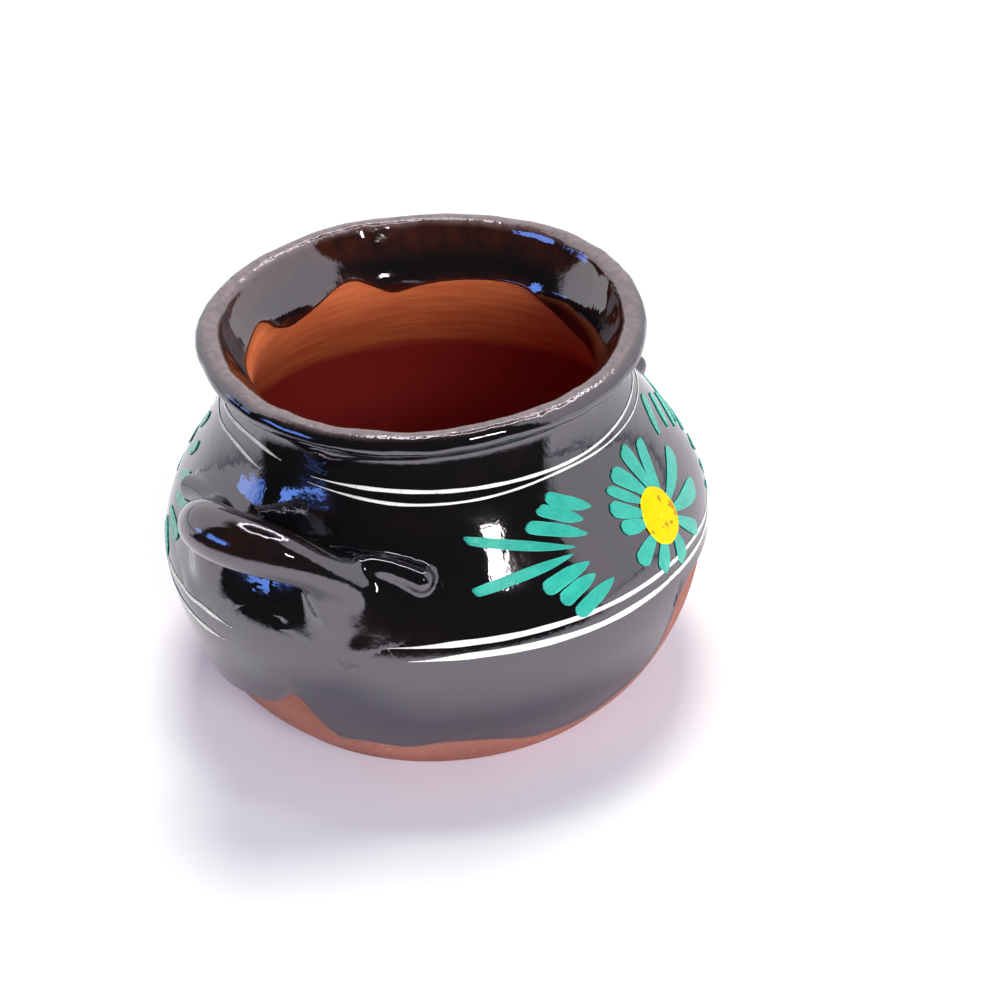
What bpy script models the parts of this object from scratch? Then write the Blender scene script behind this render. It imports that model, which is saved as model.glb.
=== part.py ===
"""Black-glazed clay pot with two rolled handles and a painted flower on each face.

Runs by itself with: blender --background --python part.py
Units are metres and +Z is up. The pot stands on z = 0 with its axis on Z, a handle at
each end of X, one painted face towards -Y and the same face again towards +Y.
"""

from math import cos, exp, hypot, pi, radians, sin, sqrt

import bmesh
import bpy
from mathutils import Vector

# Clay body, as radii and heights of the bare clay surface.
FOOT_RADIUS = 0.0408
FOOT_ROUND = 0.0015
BELLY_RADIUS = 0.0542
BELLY_HEIGHT = 0.0330
NECK_RADIUS = 0.0377
NECK_DROP = 0.0113
RIM_RADIUS = 0.0430
POT_HEIGHT = 0.0782
WALL = 0.0045
FLOOR = 0.0060
NECK_HEIGHT = POT_HEIGHT - NECK_DROP

# Lip: the rolled band round the mouth.
LIP_DEPTH = 0.0030
LIP_WIDTH = 0.0042
LIP_ROUND = 0.0013

# How far each curve of the wall keeps its first direction before it bends away.
FOOT_PULL_OUT = 0.0065
FOOT_PULL_UP = 0.0045
BELLY_PULL_DOWN = 0.0130
BELLY_PULL_UP = 0.0122
NECK_PULL_DOWN = 0.0098
NECK_PULL_UP = 0.0035
LIP_PULL_DOWN = 0.0035
FLOOR_PULL_OUT = 0.0080

# Rings of clay that the potter joins one on the next, at seams cut on a slant.
RIM_COIL_DEPTH = 0.0065
NECK_COLLAR_DEPTH = 0.0125
SEAM_SLANT = 0.0010
RIM_SEAM_HEIGHT = POT_HEIGHT - RIM_COIL_DEPTH
NECK_SEAM_HEIGHT = RIM_SEAM_HEIGHT - NECK_COLLAR_DEPTH

# Handles: a tapered roll of clay bent into a bow, its tails pressed on the shoulder.
HANDLE_DROP = 0.0163
HANDLE_ROLL = 0.0054
TAIL_ROLL = 0.0029
TAIL_REACH = 0.0300
TAIL_LIFT = 0.0006
TAIL_TIP = 0.0030
TAIL_BLUNT = 0.22
BOW_LIFT = 0.0140
BOW_FLAT = 0.0050
BOW_REACH = 0.0220
HANDLE_HEIGHT = NECK_HEIGHT - HANDLE_DROP

# Glaze coat: dipped from the mouth, so it stops above the foot and inside the neck.
GLAZE = 0.0005
GLAZE_FOOT_HEIGHT = 0.0130
GLAZE_INSIDE_DROP = 0.0100
GLAZE_INSIDE_HEIGHT = POT_HEIGHT - GLAZE_INSIDE_DROP

# Painted slip: double white lines above and below the handles, broken at each handle.
SLIP = 0.0004
NECK_LINE_RISE = 0.0072
BELLY_LINE_DROP = 0.0097
LINE_SPACING = 0.0023
NECK_LINE_WIDTH = 0.0010
BELLY_LINE_WIDTH = 0.0014
NECK_LINE_BREAK = radians(6)
BELLY_LINE_BREAK = radians(18)
LINE_END_WIDTH = 0.3
LINE_TAPER = 0.17
NECK_LINE_HEIGHT = HANDLE_HEIGHT + TAIL_ROLL + NECK_LINE_RISE
BELLY_LINE_HEIGHT = HANDLE_HEIGHT - TAIL_ROLL - BELLY_LINE_DROP

# Flower in the band between the lines: a round centre, a ring of petals, and at each
# side a fan of longer strokes that stops short of the handle.
PAINT_GAP = 0.0009
CENTRE_RADIUS = 0.0046
PETALS = 12
PETAL_JOIN = 0.0018
PETAL_FULLNESS = 0.6
LOW_PETAL = 0.0082
FAN_STROKES = 8
FAN_START = 0.0170
FAN_REACH = 0.0265
FAN_STROKE_WIDTH = 0.0018
FAN_GATHER = 0.62
FAN_TO_HANDLE = 0.0045
FAN_LONGEST_AT = 0.45
FAN_LONG_SPREAD = 0.16

# A brush stroke, as shares of its width and length: its start, where it is full, where
# it rounds off, and how much narrower it ends.
STROKE_START = 0.3
STROKE_FULL_AT = 0.67
STROKE_ROUND_AT = 0.83
STROKE_BLUNT = 0.5

# Fine gap kept between one layer or piece and the next.
CLEARANCE = 0.0003

# Smoothness of the facets.
TURNS = 44
CURVE_STEPS = 7
FLARE_STEPS = 4
ROUND_STEPS = 3
CLIMB_STEPS = 12
HANDLE_STEPS = 26
HANDLE_SIDES = 4
LOBE_STEPS = 4
CENTRE_STEPS = 20
LINE_STEPS = 26
STROKE_STEPS = 5
MERGE = 1e-6

FACES = {"front": 0.0, "back": pi}
HANDLES = {"left": -pi / 2, "right": pi / 2}

# Colours in linear RGB, then roughness.
FINISHES = {
    "red_clay": ((0.37, 0.125, 0.06), 0.85),
    "black_glaze": ((0.012, 0.009, 0.009), 0.12),
    "white_slip": ((0.78, 0.78, 0.80), 0.30),
    "teal_slip": ((0.02, 0.38, 0.31), 0.30),
    "yellow_slip": ((0.95, 0.62, 0.01), 0.30),
}


def clear_scene():
    for thing in list(bpy.data.objects):
        bpy.data.objects.remove(thing, do_unlink=True)


def new_collection(name):
    collection = bpy.data.collections.new(name)
    bpy.context.scene.collection.children.link(collection)
    return collection


def finish(name):
    """A plain material for one of the pot's finishes."""
    colour, roughness = FINISHES[name]
    material = bpy.data.materials.new(name)
    material.use_nodes = True
    shader = material.node_tree.nodes["Principled BSDF"]
    shader.inputs["Base Color"].default_value = (*colour, 1.0)
    shader.inputs["Roughness"].default_value = roughness
    shader.inputs["Metallic"].default_value = 0.0
    return material


clear_scene()
POT = new_collection("black_clay_pot")
CUTTERS = new_collection("cutters")
MATERIALS = {name: finish(name) for name in FINISHES}
AXIS = bpy.data.objects.new("pot_axis", None)
POT.objects.link(AXIS)


def add_piece(name, mesh, material_name):
    """A visible sub-part, parented to the pot's axis."""
    piece = bpy.data.objects.new(name, mesh)
    mesh.materials.append(MATERIALS[material_name])
    mesh.shade_smooth()
    POT.objects.link(piece)
    piece.parent = AXIS
    return piece


def add_cutter(name, mesh):
    cutter = bpy.data.objects.new(name, mesh)
    CUTTERS.objects.link(cutter)
    cutter.hide_render = True
    cutter.display_type = "WIRE"
    return cutter


def cut(piece, cutter):
    boolean = piece.modifiers.new(f"cut by {cutter.name}", "BOOLEAN")
    boolean.operation = "DIFFERENCE"
    boolean.solver = "EXACT"
    boolean.object = cutter


# Curves of the section. A point is (radius, height), and each list climbs from foot to rim.


def bend(start, leave, arrive, end, steps=CURVE_STEPS):
    """Points of a smooth cubic curve, without its first one."""
    points = []
    for step in range(1, steps + 1):
        t = step / steps
        weights = ((1 - t) ** 3, 3 * t * (1 - t) ** 2, 3 * t * t * (1 - t), t**3)
        corners = (start, leave, arrive, end)
        points.append(tuple(sum(w * c[i] for w, c in zip(weights, corners)) for i in (0, 1)))
    return points


def arc(centre, radius, first, last, steps=ROUND_STEPS):
    """Points of a circular arc, without its first one."""
    angles = [first + (last - first) * step / steps for step in range(1, steps + 1)]
    return [(centre[0] + radius * cos(a), centre[1] + radius * sin(a)) for a in angles]


def outer_curve():
    foot = (FOOT_RADIUS, FOOT_ROUND)
    belly = (BELLY_RADIUS, BELLY_HEIGHT)
    neck = (NECK_RADIUS, NECK_HEIGHT)
    lip = (RIM_RADIUS, POT_HEIGHT - LIP_DEPTH)
    points = [(FOOT_RADIUS - FOOT_ROUND, 0.0)]
    points += arc((foot[0] - FOOT_ROUND, FOOT_ROUND), FOOT_ROUND, -pi / 2, 0)
    leave_foot = (foot[0] + FOOT_PULL_OUT, foot[1] + FOOT_PULL_UP)
    points += bend(foot, leave_foot, (belly[0], belly[1] - BELLY_PULL_DOWN), belly)
    leave_belly = (belly[0], belly[1] + BELLY_PULL_UP)
    points += bend(belly, leave_belly, (neck[0], neck[1] - NECK_PULL_DOWN), neck)
    leave_neck = (neck[0], neck[1] + NECK_PULL_UP)
    points += bend(neck, leave_neck, (lip[0], lip[1] - LIP_PULL_DOWN), lip, FLARE_STEPS)
    return points


def lip_curve():
    """Over the lip, from the end of the outer curve to the end of the inner one."""
    top = POT_HEIGHT - LIP_ROUND
    outside = (RIM_RADIUS - LIP_ROUND, top)
    inside = (RIM_RADIUS - LIP_WIDTH + LIP_ROUND, top)
    points = [(RIM_RADIUS, top)]
    points += arc(outside, LIP_ROUND, 0, pi / 2)
    points += [(inside[0], POT_HEIGHT)]
    return points + arc(inside, LIP_ROUND, pi / 2, pi)


def inner_curve():
    belly = (BELLY_RADIUS - WALL, BELLY_HEIGHT)
    neck = (NECK_RADIUS - WALL, NECK_HEIGHT)
    mouth = (RIM_RADIUS - LIP_WIDTH, POT_HEIGHT - LIP_ROUND)
    floor_edge = (FOOT_RADIUS - WALL, FLOOR)
    points = [floor_edge]
    leave_floor = (floor_edge[0] + FLOOR_PULL_OUT, FLOOR)
    points += bend(floor_edge, leave_floor, (belly[0], belly[1] - BELLY_PULL_DOWN), belly)
    leave_belly = (belly[0], belly[1] + BELLY_PULL_UP)
    points += bend(belly, leave_belly, (neck[0], neck[1] - NECK_PULL_DOWN), neck)
    leave_neck = (neck[0], neck[1] + NECK_PULL_UP)
    points += bend(neck, leave_neck, (mouth[0], mouth[1] - LIP_PULL_DOWN), mouth, FLARE_STEPS)
    return points


OUTER = outer_curve()
INNER = inner_curve()
LIP = lip_curve()


def at_height(curve, height):
    """The curve's point at a height."""
    for (r0, z0), (r1, z1) in zip(curve, curve[1:]):
        if z0 <= height <= z1 and z1 > z0:
            return (r0 + (r1 - r0) * (height - z0) / (z1 - z0), height)
    return curve[-1] if height > curve[-1][1] else curve[0]


def between(curve, low, high):
    """The stretch of a curve from one height to another, with points at both ends."""
    middle = [p for p in curve if low + MERGE < p[1] < high - MERGE]
    return [at_height(curve, low), *middle, at_height(curve, high)]


def lifted(curve, distance):
    """The curve moved sideways, away from the clay on its right as it is travelled."""
    moved = []
    for i, point in enumerate(curve):
        before = curve[max(i - 1, 0)]
        after = curve[min(i + 1, len(curve) - 1)]
        along = (after[0] - before[0], after[1] - before[1])
        length = hypot(*along)
        moved.append((point[0] + distance * along[1] / length, point[1] - distance * along[0] / length))
    return moved


# Turned pieces


def turned_mesh(name, profile, ring):
    """A profile in the XZ plane, drawn as edges and closed on itself if it is a ring."""
    count = len(profile)
    edges = [(i, i + 1) for i in range(count - 1)]
    if ring:
        edges.append((count - 1, 0))
    mesh = bpy.data.meshes.new(name)
    mesh.from_pydata([(r, 0.0, z) for r, z in profile], edges, [])
    return mesh


def turn(thing):
    screw = thing.modifiers.new("turned on the wheel", "SCREW")
    screw.axis = "Z"
    screw.steps = TURNS
    screw.render_steps = TURNS
    screw.use_merge_vertices = True
    screw.merge_threshold = MERGE
    screw.use_smooth_shade = True


def add_turned(name, profile, material_name, ring=True):
    piece = add_piece(name, turned_mesh(name, profile, ring), material_name)
    turn(piece)
    return piece


def make_lower_bowl():
    top = BELLY_HEIGHT - CLEARANCE / 2
    inside = between(INNER, FLOOR, top - SEAM_SLANT)
    outside = between(OUTER, 0.0, top)
    profile = [(0.0, FLOOR), *inside, *reversed(outside), (0.0, 0.0)]
    return add_turned("lower_bowl", profile, "red_clay", ring=False)


def make_ring(name, low, high):
    """A ring of clay from the seam at one height to the seam at another."""
    low += CLEARANCE / 2
    high -= CLEARANCE / 2
    outside = between(OUTER, low, high)
    inside = between(INNER, low - SEAM_SLANT, high - SEAM_SLANT)
    return add_turned(name, [*reversed(outside), *inside], "red_clay")


def make_rim_coil():
    low = RIM_SEAM_HEIGHT + CLEARANCE / 2
    outside = between(OUTER, low, POT_HEIGHT - LIP_DEPTH)
    inside = between(INNER, low - SEAM_SLANT, POT_HEIGHT - LIP_ROUND)
    over = [*outside, *LIP]
    return add_turned("rim_coil", [*reversed(over), *inside[:-1]], "red_clay")


def make_glaze_coat():
    """One skin from above the foot, over the lip and down inside the neck."""
    outside = between(OUTER, GLAZE_FOOT_HEIGHT, POT_HEIGHT - LIP_DEPTH)
    inside = between(INNER, GLAZE_INSIDE_HEIGHT, POT_HEIGHT - LIP_ROUND)
    skin = [*outside, *LIP, *reversed(inside[:-1])]
    under = lifted(skin, CLEARANCE)
    over = lifted(skin, CLEARANCE + GLAZE)
    return add_turned("glaze_coat", [*reversed(over), *under], "black_glaze")


# Places on the glazed wall


GLAZED = lifted(OUTER, CLEARANCE + GLAZE)


def wall_direction(height):
    """The way the wall faces at a height, as (outwards, upwards)."""
    (r0, z0), (r1, z1) = at_height(GLAZED, height - SLIP), at_height(GLAZED, height + SLIP)
    length = hypot(r1 - r0, z1 - z0)
    return (z1 - z0) / length, (r0 - r1) / length


def on_wall(angle, height, lift):
    """A point off the glazed wall, with the angle measured from the front face."""
    radius = at_height(GLAZED, height)[0]
    outwards, upwards = wall_direction(height)
    radius += lift * outwards
    return Vector((radius * sin(angle), -radius * cos(angle), height + lift * upwards))


def climb(height, distance):
    """The height reached after going a distance up or down along the wall."""
    for _ in range(CLIMB_STEPS):
        height += distance / CLIMB_STEPS * wall_direction(height)[0]
    return height


def wall_length(low, high):
    """The distance along the wall from one height to another."""
    stretch = between(GLAZED, low, high)
    return sum(hypot(b[0] - a[0], b[1] - a[1]) for a, b in zip(stretch, stretch[1:]))


# Handles


def ease(t):
    t = min(max(t, 0.0), 1.0)
    return t * t * (3 - 2 * t)


def handle_path(facing):
    """Centre points of the bent roll, each with the roll's radius there."""
    wall_radius = at_height(GLAZED, HANDLE_HEIGHT)[0]
    path = []
    for step in range(HANDLE_STEPS + 1):
        along = TAIL_REACH * (2 * step / HANDLE_STEPS - 1)
        bow = 1 - ease((abs(along) - BOW_FLAT) / (BOW_REACH - BOW_FLAT))
        lift = TAIL_LIFT + (BOW_LIFT - TAIL_LIFT) * bow
        roll = TAIL_ROLL + (HANDLE_ROLL - TAIL_ROLL) * bow
        tip = max((abs(along) - TAIL_REACH) / TAIL_TIP + 1, 0.0)
        roll *= max(sqrt(1 - tip * tip), TAIL_BLUNT)
        path.append((on_wall(facing + along / wall_radius, HANDLE_HEIGHT, lift), roll))
    return path


def roll_mesh(name, path, extra):
    """A tapered roll along a path, grown by an extra thickness, as a closed mesh."""
    curve = bpy.data.curves.new(name, "CURVE")
    curve.dimensions = "3D"
    curve.bevel_depth = HANDLE_ROLL
    curve.bevel_resolution = HANDLE_SIDES
    curve.use_fill_caps = True
    spline = curve.splines.new("POLY")
    spline.points.add(len(path) - 1)
    for point, (place, roll) in zip(spline.points, path):
        point.co = (*place, 1.0)
        point.radius = (roll + extra) / HANDLE_ROLL
    drawn = bpy.data.objects.new(name, curve)
    CUTTERS.objects.link(drawn)
    bpy.context.view_layer.update()
    solid = drawn.evaluated_get(bpy.context.evaluated_depsgraph_get())
    mesh = bpy.data.meshes.new_from_object(solid)
    bpy.data.objects.remove(drawn, do_unlink=True)
    shape = bmesh.new()
    shape.from_mesh(mesh)
    bmesh.ops.remove_doubles(shape, verts=shape.verts, dist=MERGE)
    shape.to_mesh(mesh)
    shape.free()
    return mesh


def make_wall_cutter():
    """The clay body's outside, a fine gap larger, as one solid."""
    side = lifted(between(OUTER, BELLY_HEIGHT / 2, POT_HEIGHT - LIP_DEPTH), CLEARANCE)
    profile = [(0.0, side[-1][1]), *reversed(side), (0.0, side[0][1])]
    cutter = add_cutter("wall_cutter", turned_mesh("wall_cutter", profile, ring=False))
    turn(cutter)
    return cutter


def make_handles(glaze_coat):
    """Each handle is seated on the clay wall, and the glaze coat stops round it."""
    wall_cutter = make_wall_cutter()
    for side, facing in HANDLES.items():
        path = handle_path(facing)
        handle = add_piece(f"handle_{side}", roll_mesh(f"handle_{side}", path, 0.0), "black_glaze")
        cut(handle, wall_cutter)
        seat = add_cutter(f"handle_cutter_{side}", roll_mesh(f"handle_cutter_{side}", path, CLEARANCE))
        cut(glaze_coat, seat)


# Painted slip


def add_painted(name, columns, rows, place, material_name):
    """A flat grid laid on the wall by a rule, then thickened outwards."""
    grid = bmesh.new()
    bmesh.ops.create_grid(grid, x_segments=columns, y_segments=rows, size=0.5)
    for corner in grid.verts:
        corner.co = place(corner.co.x + 0.5, corner.co.y + 0.5)
    bmesh.ops.remove_doubles(grid, verts=grid.verts, dist=MERGE)
    grid.normal_update()
    first = next(iter(grid.faces))
    if first.normal.dot(first.calc_center_median() * Vector((1, 1, 0))) < 0:
        bmesh.ops.reverse_faces(grid, faces=grid.faces)
    mesh = bpy.data.meshes.new(name)
    grid.to_mesh(mesh)
    grid.free()
    piece = add_piece(name, mesh, material_name)
    thickness = piece.modifiers.new("thickness of the slip", "SOLIDIFY")
    thickness.thickness = SLIP
    thickness.offset = 1.0
    return piece


def make_line(name, facing, height, width, half_gap):
    """A white line round one face, from one handle to the other, thin at both ends."""
    reach = pi / 2 - half_gap

    def place(s, t):
        taper = LINE_END_WIDTH + (1 - LINE_END_WIDTH) * ease(min(s, 1 - s) / LINE_TAPER)
        level = height + width * taper * (t - 0.5)
        return on_wall(facing + reach * (2 * s - 1), level, CLEARANCE)

    add_painted(name, LINE_STEPS, 1, place, "white_slip")


BAND_LOW = BELLY_LINE_HEIGHT + BELLY_LINE_WIDTH / 2 + PAINT_GAP
BAND_HIGH = NECK_LINE_HEIGHT - NECK_LINE_WIDTH / 2 - PAINT_GAP
FLOWER_HEIGHT = climb(BAND_LOW, LOW_PETAL)
HIGH_PETAL = wall_length(FLOWER_HEIGHT, BAND_HIGH)


def beside_flower(facing, across, up):
    """A point on the wall, by its distances across and up from the flower's middle."""
    height = climb(FLOWER_HEIGHT, up)
    return on_wall(facing + across / at_height(GLAZED, height)[0], height, CLEARANCE)


def make_centre(name, facing):
    def place(s, t):
        direction = 2 * pi * s
        return beside_flower(facing, CENTRE_RADIUS * t * cos(direction), CENTRE_RADIUS * t * sin(direction))

    add_painted(name, CENTRE_STEPS, 1, place, "yellow_slip")


def make_petals(name, facing):
    """Petals joined round the centre, the low ones short and the high ones long."""
    start = CENTRE_RADIUS + CLEARANCE
    join = start + PETAL_JOIN

    def place(s, t):
        direction = 2 * pi * s
        tip = LOW_PETAL + (HIGH_PETAL - LOW_PETAL) * (1 + sin(direction)) / 2
        reach = join + (tip - join) * abs(sin(pi * PETALS * s)) ** PETAL_FULLNESS
        distance = start + (reach - start) * t
        return beside_flower(facing, distance * cos(direction), distance * sin(direction))

    add_painted(name, PETALS * LOBE_STEPS, 2, place, "teal_slip")


def brush(s):
    """Width of a brush stroke along its length: a fine start and a full, blunt end."""
    fill = STROKE_START + (1 - STROKE_START) * ease(s / STROKE_FULL_AT)
    return fill - STROKE_BLUNT * ease((s - STROKE_ROUND_AT) / (1 - STROKE_ROUND_AT))


def make_stroke(name, facing, start, end):
    """One stroke between two places beside the flower."""
    along = (end[0] - start[0], end[1] - start[1])
    length = hypot(*along)

    def place(s, t):
        sideways = FAN_STROKE_WIDTH * brush(s) * (t - 0.5) / length
        across = start[0] + along[0] * s - along[1] * sideways
        up = start[1] + along[1] * s + along[0] * sideways
        return beside_flower(facing, across, up)

    add_painted(name, STROKE_STEPS, 1, place, "teal_slip")


def make_fan(name, facing, side):
    """Strokes that spread from beside the flower to fill the band, the middle ones longest."""
    wall_radius = at_height(GLAZED, FLOWER_HEIGHT)[0]
    tail = TAIL_REACH / at_height(GLAZED, HANDLE_HEIGHT)[0]
    longest = wall_radius * (pi / 2 - tail) - FAN_TO_HANDLE
    for number in range(FAN_STROKES):
        place = (number + 0.5) / FAN_STROKES
        swell = exp(-(((place - FAN_LONGEST_AT) / FAN_LONG_SPREAD) ** 2))
        reach = FAN_REACH + (longest - FAN_REACH) * swell
        up = HIGH_PETAL * place - LOW_PETAL * (1 - place)
        start = (side * FAN_START, FAN_GATHER * up)
        make_stroke(f"{name}_{number + 1}", facing, start, (side * reach, up))


def make_flower(face, facing):
    make_centre(f"flower_centre_{face}", facing)
    make_petals(f"petals_{face}", facing)
    make_fan(f"fan_{face}_left", facing, -1)
    make_fan(f"fan_{face}_right", facing, 1)


def make_lines(face, facing):
    """The neck pair climbs from its lowest line, and the belly pair goes down from its highest."""
    for level, step in {"lower": 0.0, "upper": LINE_SPACING}.items():
        height = NECK_LINE_HEIGHT + step
        make_line(f"neck_line_{face}_{level}", facing, height, NECK_LINE_WIDTH, NECK_LINE_BREAK)
    for level, step in {"upper": 0.0, "lower": LINE_SPACING}.items():
        height = BELLY_LINE_HEIGHT - step
        make_line(f"belly_line_{face}_{level}", facing, height, BELLY_LINE_WIDTH, BELLY_LINE_BREAK)


make_lower_bowl()
make_ring("shoulder_ring", BELLY_HEIGHT, NECK_SEAM_HEIGHT)
make_ring("neck_collar", NECK_SEAM_HEIGHT, RIM_SEAM_HEIGHT)
make_rim_coil()
make_handles(make_glaze_coat())
for face_name, face_angle in FACES.items():
    make_lines(face_name, face_angle)
    make_flower(face_name, face_angle)
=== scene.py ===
# %% [markdown]
# # A black-glazed clay pot with a painted daisy
# The pot is thrown in red clay, dipped in black glaze from the mouth down, and painted with a brush.
# The solid model gives its sizes and the places of its pieces. This lesson makes the surfaces that
# a hand leaves on them: the uneven edge of the glaze, handles that melt into the wall, brush strokes.

# %% The frame
from math import cos, pi, radians, sin

import bmesh
import bpy
import numpy as np
from mathutils import Matrix, Vector


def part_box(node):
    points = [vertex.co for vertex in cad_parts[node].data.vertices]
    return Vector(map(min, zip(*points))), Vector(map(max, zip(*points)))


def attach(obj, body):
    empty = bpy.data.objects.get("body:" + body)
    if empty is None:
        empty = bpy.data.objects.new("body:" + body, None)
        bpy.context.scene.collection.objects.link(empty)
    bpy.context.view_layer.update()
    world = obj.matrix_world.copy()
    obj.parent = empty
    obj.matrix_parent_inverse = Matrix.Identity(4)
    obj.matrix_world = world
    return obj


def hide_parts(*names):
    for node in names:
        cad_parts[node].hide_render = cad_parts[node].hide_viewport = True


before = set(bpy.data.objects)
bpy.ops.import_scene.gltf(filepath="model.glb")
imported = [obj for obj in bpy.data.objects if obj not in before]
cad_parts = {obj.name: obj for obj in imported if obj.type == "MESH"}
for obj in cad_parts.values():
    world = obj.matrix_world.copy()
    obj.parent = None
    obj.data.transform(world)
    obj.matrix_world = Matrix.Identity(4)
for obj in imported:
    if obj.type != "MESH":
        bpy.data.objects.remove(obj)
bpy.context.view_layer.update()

print("the frame holds", len(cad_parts), "nodes")

# %% [markdown]
# ## Sums in node trees
# A material or a Geometry Nodes tree is a long list of small nodes. Linking them one by one hides
# the idea, so one small class wraps a socket: a sum on two wires adds the Math node that makes it,
# and one method adds any other node. The same class serves materials and Geometry Nodes.

# %% Wires
def set_up(node, name, value):
    """One setting of a node: a curve's points or a plain property."""
    if name == "points":
        curve = node.mapping.curves[0].points
        while len(curve) < len(value):
            curve.new(0.5, 0.5)
        for point, place in zip(curve, value):
            point.location = place
            point.handle_type = "AUTO_CLAMPED"
        node.mapping.update()
    else:
        setattr(node, name, value)


def is_vector(term):
    if isinstance(term, Wire):
        return term.socket.type in ("VECTOR", "RGBA")
    return isinstance(term, tuple)


class Wire:
    """An output socket that can be used in sums. Numbers join in from either side."""

    def __init__(self, tree, socket=None):
        self.tree = tree
        self.socket = socket

    def node(self, kind, settings=None, sockets=None, out=0):
        """Adds a node: its settings first, then the values or links of its sockets."""
        made = self.tree.nodes.new(kind)
        for name, value in (settings or {}).items():
            set_up(made, name, value)
        for name, value in (sockets or {}).items():
            if isinstance(value, Wire):
                self.tree.links.new(value.socket, made.inputs[name])
            else:
                made.inputs[name].default_value = value
        return Wire(self.tree, made.outputs[out] if len(made.outputs) else None)

    def other(self, name):
        """Another output of the same node."""
        return Wire(self.tree, self.socket.node.outputs[name])

    def sum(self, operation, first, second):
        terms = [first, second]
        if any(is_vector(term) for term in terms):
            terms = [term if isinstance(term, (Wire, tuple)) else (term,) * 3 for term in terms]
            return self.node("ShaderNodeVectorMath", {"operation": operation}, dict(enumerate(terms)))
        return self.node("ShaderNodeMath", {"operation": operation}, dict(enumerate(terms)))

    def __add__(self, term):
        return self.sum("ADD", self, term)

    def __radd__(self, term):
        return self.sum("ADD", term, self)

    def __sub__(self, term):
        return self.sum("SUBTRACT", self, term)

    def __rsub__(self, term):
        return self.sum("SUBTRACT", term, self)

    def __mul__(self, term):
        return self.sum("MULTIPLY", self, term)

    def __rmul__(self, term):
        return self.sum("MULTIPLY", term, self)

    def __truediv__(self, term):
        return self.sum("DIVIDE", self, term)

    def step(self, low, high):
        """0 below the low value, 1 above the high one, and a smooth change between them."""
        sockets = {"Value": self, "From Min": low, "From Max": high}
        return self.node("ShaderNodeMapRange", {"interpolation_type": "SMOOTHSTEP"}, sockets)

    def parts(self):
        """The three numbers of a vector."""
        split = self.node("ShaderNodeSeparateXYZ", None, {0: self})
        return split, split.other("Y"), split.other("Z")

    def mix(self, low, high):
        """The low colour where this wire is 0, the high one where it is 1."""
        colours = [c if isinstance(c, Wire) else (*c, 1.0) for c in (low, high)]
        sockets = {0: self, 6: colours[0], 7: colours[1]}
        return self.node("ShaderNodeMix", {"data_type": "RGBA"}, sockets, out=2)

    def noise(self, scale, detail=2.0, seed=0.0, out=0):
        """Soft random values that follow this vector."""
        sockets = {"Vector": self, "W": seed, "Scale": scale, "Detail": detail}
        return self.node("ShaderNodeTexNoise", {"noise_dimensions": "4D"}, sockets, out)


print("wires ready")

# %% [markdown]
# ## Sizes of the pot
# The frame gives the outer sizes. What it can't tell, such as how deep the neck is drawn in or where
# the belly is widest, is named here in metres. The wall's section is then a chain of smooth bends
# and round corners, the way a potter's fingers shape it, and not a list of read-off points. A bend
# is drawn by its two ends and by a pull at each: how far it keeps the direction it has there.

# %% Section of the wall
belly_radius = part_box("shoulder_ring")[1][0]
rim_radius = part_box("rim_coil")[1][0]
pot_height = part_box("rim_coil")[1][2]
coat_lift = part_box("glaze_coat")[1][2] - pot_height

foot_radius = 0.0408
foot_round = 0.0015
belly_height = 0.0330
neck_radius = 0.0379
neck_below_lip = 0.0084
neck_height = pot_height - neck_below_lip
bore_radius = 0.0339
bore_below_lip = 0.0108
bore_height = pot_height - bore_below_lip
lip_width = 0.0034
lip_round = 0.0011
edge_round = 0.0015
under_tilt = radians(48)
funnel_tilt = radians(22)
wall = 0.0045
floor = 0.0060

foot_pull = 0.0065, 0.0045
belly_pull_down = 0.0130
belly_pull_up = 0.0122
neck_pull_down = 0.0010, 0.0136
neck_pull_up = 0.0002, 0.0027
lip_pull = 0.0035
bore_pull_up = 0.0030
bore_pull_down = 0.0098
floor_pull = 0.0080


def bend(start, leave, arrive, end, steps=40):
    """Points of a smooth cubic bend, without its first one."""
    t = np.linspace(0, 1, steps + 1)[1:, None]
    ends = (1 - t) ** 3 * np.array(start) + t**3 * np.array(end)
    return ends + 3 * t * (1 - t) ** 2 * np.array(leave) + 3 * t * t * (1 - t) * np.array(arrive)


def arc(centre, radius, first, last, steps=10):
    """Points of a round corner, without its first one."""
    turn = np.linspace(first, last, steps + 1)[1:]
    return np.array(centre) + radius * np.stack([np.cos(turn), np.sin(turn)], 1)


def lip_under():
    """Where the flared neck meets the rounded edge of the lip."""
    edge = np.array([rim_radius - edge_round, pot_height - edge_round])
    return edge + edge_round * np.array([cos(under_tilt), -sin(under_tilt)])


def outer_section():
    """From the edge of the underside to the lip, as (radius, height)."""
    foot = (foot_radius, foot_round)
    belly = (belly_radius, belly_height)
    neck = (neck_radius, neck_height)
    under = lip_under()
    flare = under - lip_pull * np.array([sin(under_tilt), cos(under_tilt)])
    foot_out = (foot[0] + foot_pull[0], foot[1] + foot_pull[1])
    shoulder_in = (neck[0] + neck_pull_down[0], neck[1] - neck_pull_down[1])
    neck_up = (neck[0] - neck_pull_up[0], neck[1] + neck_pull_up[1])
    return np.vstack([
        [(foot_radius - foot_round, 0.0)],
        arc((foot_radius - foot_round, foot_round), foot_round, -pi / 2, 0),
        bend(foot, foot_out, (belly[0], belly[1] - belly_pull_down), belly),
        bend(belly, (belly[0], belly[1] + belly_pull_up), shoulder_in, neck),
        bend(neck, neck_up, flare, under),
    ])


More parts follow.
